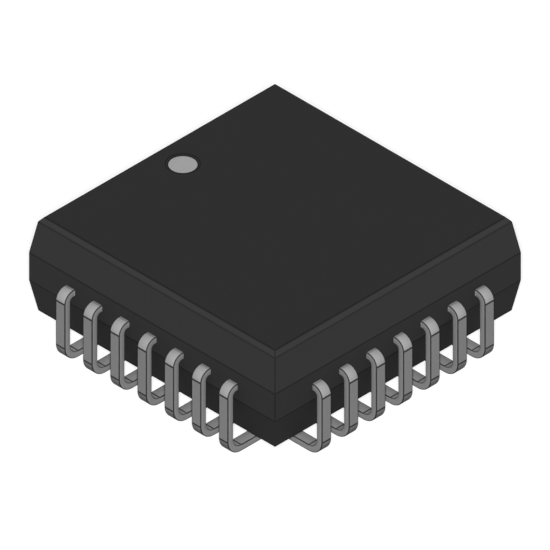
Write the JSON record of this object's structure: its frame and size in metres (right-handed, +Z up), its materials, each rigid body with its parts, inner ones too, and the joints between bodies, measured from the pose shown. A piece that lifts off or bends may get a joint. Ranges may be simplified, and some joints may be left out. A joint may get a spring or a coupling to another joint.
{
  "type": "plastic leaded chip carrier",
  "caption": "Square surface-mount chip package: drafted dark epoxy body with J-shaped metal leads curled under every side and a grey dot at the first lead.",
  "frame": {"origin": "middle of the footprint, on the seating plane under the lead feet", "axes": "+Z up out of the flat top; +Y towards the middle lead of the row that the dot marks"},
  "size_m": [0.0124, 0.0124, 0.0047],
  "materials": {
    "mold_compound": "matte moulded epoxy",
    "tin_plate": "matte tin plate on copper alloy",
    "leadframe_alloy": "rolled copper alloy",
    "silver_epoxy": "silver-filled adhesive",
    "silicon": "polished silicon",
    "gold": "drawn gold wire",
    "mark_ink": "matt grey ink"
  },
  "bodies": {
    "root": {"mold_body": "mold_compound", "lead_01": "tin_plate", "lead_02": "tin_plate", "lead_03": "tin_plate", "lead_04": "tin_plate", "lead_05": "tin_plate", "lead_06": "tin_plate", "lead_07": "tin_plate", "lead_08": "tin_plate", "lead_09": "tin_plate", "lead_10": "tin_plate", "lead_11": "tin_plate", "lead_12": "tin_plate", "lead_13": "tin_plate", "lead_14": "tin_plate", "lead_15": "tin_plate", "lead_16": "tin_plate", "lead_17": "tin_plate", "lead_18": "tin_plate", "lead_19": "tin_plate", "lead_20": "tin_plate", "lead_21": "tin_plate", "lead_22": "tin_plate", "lead_23": "tin_plate", "lead_24": "tin_plate", "lead_25": "tin_plate", "lead_26": "tin_plate", "lead_27": "tin_plate", "lead_28": "tin_plate", "die_paddle": "leadframe_alloy", "die_attach": "silver_epoxy", "silicon_die": "silicon", "bond_wires_back": "gold", "bond_wires_left": "gold", "bond_wires_front": "gold", "bond_wires_right": "gold", "pin_1_dot": "mark_ink"}
  },
  "joints": []
}
